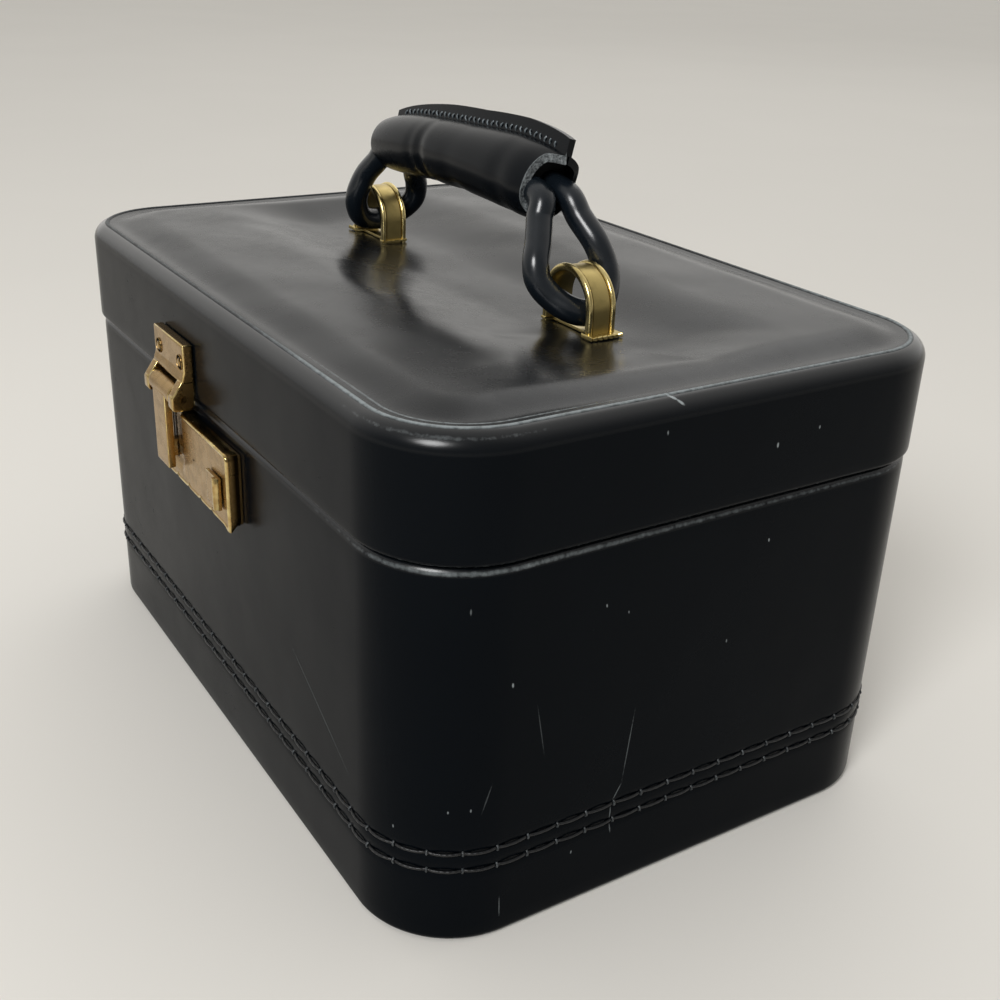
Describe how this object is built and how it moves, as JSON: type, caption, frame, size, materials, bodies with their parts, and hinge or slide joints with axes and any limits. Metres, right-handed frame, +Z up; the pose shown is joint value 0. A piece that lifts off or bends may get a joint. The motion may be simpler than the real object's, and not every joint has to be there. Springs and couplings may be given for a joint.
{
  "type": "vanity case",
  "caption": "Leather-covered vanity case with rounded corners, a hinged padded lid on slotted stays, a cord handle with a sleeved grip and a hasp latch with a thumb slide.",
  "frame": {"origin": "middle of the underside of the body, on the surface that the case stands on", "axes": "+X to the right seen from the latch side, +Y to the hinges at the back, +Z up"},
  "size_m": [0.3324, 0.2465, 0.2511],
  "materials": {
    "leather": "smooth coated leather, semi-gloss",
    "welt": "worn leather piping",
    "board": "bent fibreboard",
    "lining": "woven rayon",
    "wadding": "cotton wadding",
    "brass": "satin gilt",
    "steel": "plain",
    "mirror": "silvered",
    "cord": "waxed, glossy"
  },
  "bodies": {
    "case_body": {"base_leather": "leather", "body_floor_board": "board", "body_frame_board": "board", "body_hinge_backing_left": "brass", "body_hinge_backing_right": "brass", "body_hinge_leaf_left": "brass", "body_hinge_leaf_right": "brass", "body_leather": "leather", "body_lining": "lining", "bolt_spring": "steel", "floor_pad": "lining", "hinge_pin_left": "steel", "hinge_pin_right": "steel", "lock_back_plate": "brass", "lock_case": "brass", "lock_inner_plate": "steel", "rear_pocket": "lining", "rim_collar": "lining", "stay_stud_left": "brass", "stay_stud_right": "brass"},
    "latch_slide": {"lock_bolt": "steel", "slide_button": "brass"},
    "lid": {"handle_staple_left": "brass", "handle_staple_right": "brass", "hasp_pin": "steel", "hasp_plate": "brass", "hasp_rivet_left": "brass", "hasp_rivet_right": "brass", "lid_frame_board": "board", "lid_hinge_backing_left": "brass", "lid_hinge_backing_right": "brass", "lid_hinge_leaf_left": "brass", "lid_hinge_leaf_right": "brass", "lid_lining": "lining", "lid_padding": "wadding", "lid_side_leather": "leather", "lid_top_board": "board", "lid_top_leather": "leather", "lid_welt": "welt", "mirror": "mirror", "mirror_frame": "brass", "staple_backing_left": "steel", "staple_backing_right": "steel", "staple_plate_left": "brass", "staple_plate_right": "brass", "stay_pivot_left": "brass", "stay_pivot_right": "brass"},
    "hasp": {"hasp": "brass"},
    "handle": {"handle_cord": "cord", "handle_grip": "leather"},
    "stay_left": {"stay_left": "brass"},
    "stay_right": {"stay_right": "brass"}
  },
  "joints": [
    {"name": "lid_hinge", "type": "hinge", "parent": "case_body", "child": "lid", "pos_m": [0, 0.1186, 0.14515], "axis": [-1, 0, 0], "range_deg": [0, 95]},
    {"name": "hasp_pivot", "type": "hinge", "parent": "lid", "child": "hasp", "pos_m": [-0.024, -0.1205, 0.1466], "axis": [-1, 0, 0], "range_deg": [0, 115]},
    {"name": "slide_release", "type": "slide", "parent": "case_body", "child": "latch_slide", "axis": [1, 0, 0], "range_m": [0, 0.004], "stiffness_N_per_m": 150, "springref_m": -0.002, "deforming": ["bolt_spring"]},
    {"name": "handle_swing", "type": "hinge", "parent": "lid", "child": "handle", "pos_m": [0, 0.0017, 0.2067], "axis": [1, 0, 0], "range_deg": [-55, 55]},
    {"name": "stay_left_pivot", "type": "hinge", "parent": "lid", "child": "stay_left", "pos_m": [-0.15, 0.04433, 0.15559], "axis": [-1, 0, 0], "range_deg": [-48, 0]},
    {"name": "stay_right_pivot", "type": "hinge", "parent": "lid", "child": "stay_right", "pos_m": [0.15, 0.04433, 0.15559], "axis": [-1, 0, 0], "range_deg": [-48, 0]}
  ],
  "couplings": [
    {"joint": "stay_left_pivot", "follows": "lid_hinge", "ratio": -0.5},
    {"joint": "stay_right_pivot", "follows": "lid_hinge", "ratio": -0.5}
  ]
}
